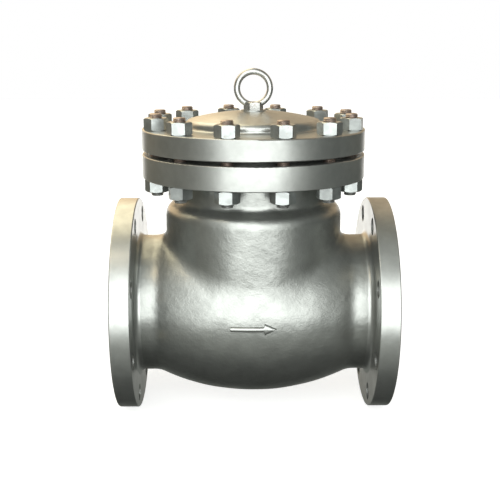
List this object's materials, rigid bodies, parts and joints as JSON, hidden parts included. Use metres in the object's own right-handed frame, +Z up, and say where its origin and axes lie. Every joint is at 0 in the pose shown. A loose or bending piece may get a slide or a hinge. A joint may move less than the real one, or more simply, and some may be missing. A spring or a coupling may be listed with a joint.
{
  "type": "swing check valve",
  "caption": "Flanged cast steel swing check valve with a bolted domed cover, a lifting eye, and a disc on a hinged arm that shuts against a seat ring.",
  "frame": {"origin": "centre of the port in the inlet flange's raised gasket face", "axes": "+X the way the flow goes, towards the outlet; +Y across; +Z up, towards the cover"},
  "size_m": [0.356, 0.287, 0.4479],
  "materials": {
    "cast_paint": "satin aluminium paint over sand-cast steel",
    "forged_paint": "satin aluminium paint over forged steel",
    "nut_steel": "satin aluminium paint over crisp hexagons",
    "stud_steel": "thin paint over threads with a first bloom of rust",
    "gasket": "dark spiral-wound strip",
    "turned_stainless": "turned",
    "bare_casting": "shot-blasted casting",
    "spring_steel": "blackened",
    "bronze": "turned bronze"
  },
  "bodies": {
    "valve": {"body": "cast_paint", "seat_ring": "turned_stainless", "cover": "cast_paint", "cover_gasket": "gasket", "cover_studs": "stud_steel", "upper_nuts": "nut_steel", "lower_nuts": "nut_steel", "lifting_eye": "forged_paint", "hinge_bracket": "bare_casting", "bracket_screws": "turned_stainless", "bracket_washers": "turned_stainless", "hinge_pin": "turned_stainless", "pin_clips": "spring_steel", "arm_spacers": "bronze"},
    "arm": {"swing_arm": "bare_casting", "arm_bush": "bronze"},
    "disc": {"disc": "turned_stainless", "disc_washer": "turned_stainless", "disc_nut": "turned_stainless", "disc_split_pin": "turned_stainless"}
  },
  "joints": [
    {"name": "arm_swing", "type": "hinge", "parent": "valve", "child": "arm", "pos_m": [0.116, 0, 0.114], "axis": [0, -1, 0], "range_deg": [0, 60]},
    {"name": "disc_spin", "type": "hinge", "parent": "arm", "child": "disc", "pos_m": [0.1081, 0, 0], "axis": [1, 0, 0], "continuous": true}
  ]
}
